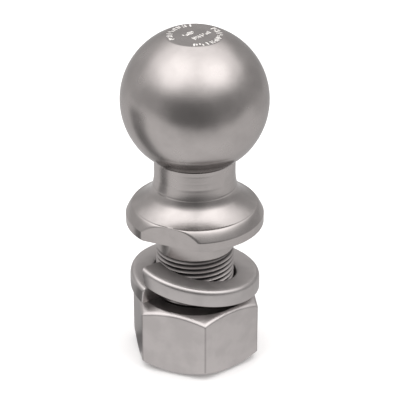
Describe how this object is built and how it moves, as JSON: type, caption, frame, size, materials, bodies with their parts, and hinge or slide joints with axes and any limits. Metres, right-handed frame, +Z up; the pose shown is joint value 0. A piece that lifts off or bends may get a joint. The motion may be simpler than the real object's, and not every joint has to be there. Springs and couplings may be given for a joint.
{
  "type": "gooseneck hitch ball",
  "caption": "Turned steel towing ball with flat top, necked collar with wrench flats, threaded shank, split lock washer and hex nut.",
  "frame": {"origin": "on the stud's axis, in the plane of the nut's lower face, which is the bottom of the whole part at rest", "axes": "+Z up along the stud's axis from the nut to the ball; -Y towards the wrench flat and nut corner shown in front"},
  "size_m": [0.0586, 0.0586, 0.1404],
  "materials": {
    "satin_steel": "satin turned steel, faint turning lines",
    "washer_steel": "satin spring steel, slightly duller than the ball",
    "nut_steel": "matte plated steel with bright chamfers"
  },
  "bodies": {
    "nut": {"hex_nut": "nut_steel"},
    "washer": {"lock_washer": "washer_steel"},
    "stud": {"ball_stud": "satin_steel"}
  },
  "joints": [
    {"name": "screw_turn", "type": "hinge", "parent": "nut", "child": "washer", "pos_m": [0, 0, 0.03], "axis": [0, 0, 1], "range_deg": [-2320, 4680]},
    {"name": "screw_rise", "type": "slide", "parent": "washer", "child": "stud", "axis": [0, 0, 1], "range_m": [-0.0137, 0.0276]}
  ],
  "couplings": [
    {"joint": "screw_rise", "follows": "screw_turn", "m_per_rad": 0.00033688}
  ]
}
